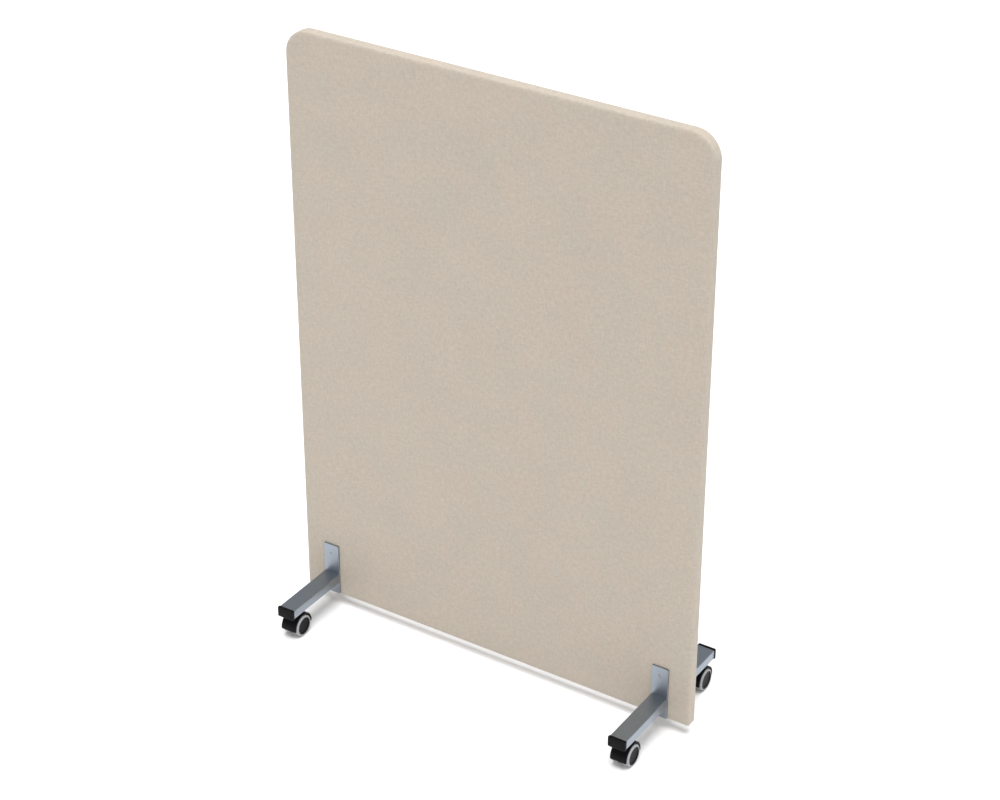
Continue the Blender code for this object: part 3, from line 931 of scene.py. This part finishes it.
def mirrored_turning(name, profile, side, loop=False):
    """A turned wheel piece. The profile runs from the castor's middle out to that side."""
    profile = [(radius, SIGNS[side] * along) for radius, along in profile]
    return mesh_of(name, turned(profile, 120, "X", loop=loop))


def finish_castors():
    tyres = {side: tyre_mesh(side) for side in ("left", "right")}
    cores = {side: core_mesh(side) for side in ("left", "right")}
    for corner, _, _ in CORNERS:
        body, node = corner + "_castor", corner + "_castor_hood"
        low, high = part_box(node)
        place = middle_of(corner + "_axle")
        swivel = middle_of(corner + "_castor_stem").y - place.y
        hood = hood_mesh(corner + "_hood", (high.x - low.x) / 2, swivel)
        piece(corner + "_hood", placed(hood, place), plastic, body, "black_plastic", node)
        for side in ("left", "right"):
            body = f"{corner}_wheel_{side}"
            name, node = f"{corner}_hub_{side}", f"{corner}_wheel_core_{side}"
            piece(name, placed(cores[side], place), plastic, body, "black_plastic", node)
            name, node = f"{corner}_tread_{side}", f"{corner}_tyre_{side}"
            piece(name, placed(tyres[side], place), rubber, body, "grey_tyre", node)


finish_castors()


# ---------------------------------------------------------------- screws and stems

STEM_PIN = 0.0025
STEM_COLLAR = 0.008
STEM_EASE = 0.0005
STEM_CORE = 0.0045
STEM_THREAD = 0.005
THREAD_TURNS = 11
THREAD_RUNOUT = 0.0018  # plain shank between the collar and the first turn
SLEEVE_BORE = 0.0033
TIP_GAP = 0.0005  # between the screw's tip and the end of the bore
COLLAR_GAP_SHARE = 0.05  # of the room between hood and tube, left free at each end of the collar


def stem_mesh(name, node, hood, tube):
    """The castor's stem: pivot pin, collar with eased edges and the thread into the leg."""
    low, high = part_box(node)
    foot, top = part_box(hood)[1].z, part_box(tube)[0].z
    gap = (top - foot) * COLLAR_GAP_SHARE
    foot, top = foot + gap, top - gap
    profile = [
        (STEM_PIN - STEM_EASE, low.z),
        (STEM_PIN, low.z + STEM_EASE),
        (STEM_PIN, foot),
        (STEM_COLLAR - STEM_EASE, foot),
        (STEM_COLLAR, foot + STEM_EASE),
        (STEM_COLLAR, top - STEM_EASE),
        (STEM_COLLAR - STEM_EASE, top),
        (STEM_THREAD, top),
    ]
    start = top + THREAD_RUNOUT
    pitch = (high.z - STEM_EASE - start) / THREAD_TURNS
    for i in range(THREAD_TURNS):
        profile += [(STEM_THREAD, start + pitch * (i + 0.25)), (STEM_CORE, start + pitch * (i + 0.75))]
    profile.append((STEM_CORE - STEM_EASE, high.z))
    place = middle_of(node)
    return mesh_of(name, moved(turned(profile, 40), (place.x, place.y, 0.0)))


def bolt_mesh(name, node, shank, bore_end):
    """A countersunk head with a hexagon socket on its shank, which may be bored as a sleeve."""
    low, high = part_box(node)
    place = middle_of(node)
    outer = outer_y(node)
    inward = -math.copysign(1.0, outer)
    length = high.y - low.y
    head = HEAD_RADIUS - shank
    profile = [
        (HEAD_RADIUS - HEAD_EASE, 0.0),
        (HEAD_RADIUS, HEAD_EASE),
        (HEAD_RADIUS, HEAD_RIM),
        (shank, HEAD_RIM + head),
        (shank, length - HEAD_EASE),
        (shank - HEAD_EASE, length),
    ]

    def turning(rows, sides):
        rows = [(radius, outer + inward * into) for radius, into in rows]
        return moved(turned(rows, sides, "Y"), (place.x, 0.0, place.z))

    cuts = [turning([(SOCKET_RADIUS, -SMALL), (SOCKET_RADIUS, SOCKET_DEPTH)], 6)]
    if bore_end is not None:
        cuts.append(turning([(SLEEVE_BORE, bore_end), (SLEEVE_BORE, length + SMALL)], 32))
    return solved(name, turning(profile, 48), cuts=cuts)


def finish_fixings():
    for corner, _, _ in CORNERS:
        name, node = corner + "_stem", corner + "_castor_stem"
        mesh = stem_mesh(name, node, corner + "_castor_hood", corner + "_leg_tube")
        piece(name, mesh, zinc, "screen", "zinc_steel", node)
    for side in ("left", "right"):
        for level in BOLT_LEVELS:
            screw, sleeve = f"foot_screw_{side}_{level}", f"sleeve_nut_{side}_{level}"
            bore_end = outer_y(sleeve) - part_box(screw)[1].y - TIP_GAP
            for node, shank, bore in ((screw, SHANK_RADIUS, None), (sleeve, SLEEVE_RADIUS, bore_end)):
                mesh = bolt_mesh(node + "_made", node, shank, bore)
                piece(node + "_made", mesh, zinc, "screen", "zinc_steel", node)


finish_fixings()


# ---------------------------------------------------------------- pieces kept from the CAD


def finish_kept():
    """Gives the hidden pieces, which keep their CAD shapes, their materials."""
    finishes = {"absorber_core": absorber}
    for node in ("frame_stile_left", "frame_stile_right", "frame_rail_top", "frame_rail_bottom"):
        finishes[node] = timber
    for corner, _, _ in CORNERS:
        finishes[corner + "_stem_nut"] = zinc
        finishes[corner + "_axle"] = zinc
    for node, finish in finishes.items():
        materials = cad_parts[node].data.materials
        materials.clear()
        materials.append(finish)


finish_kept()
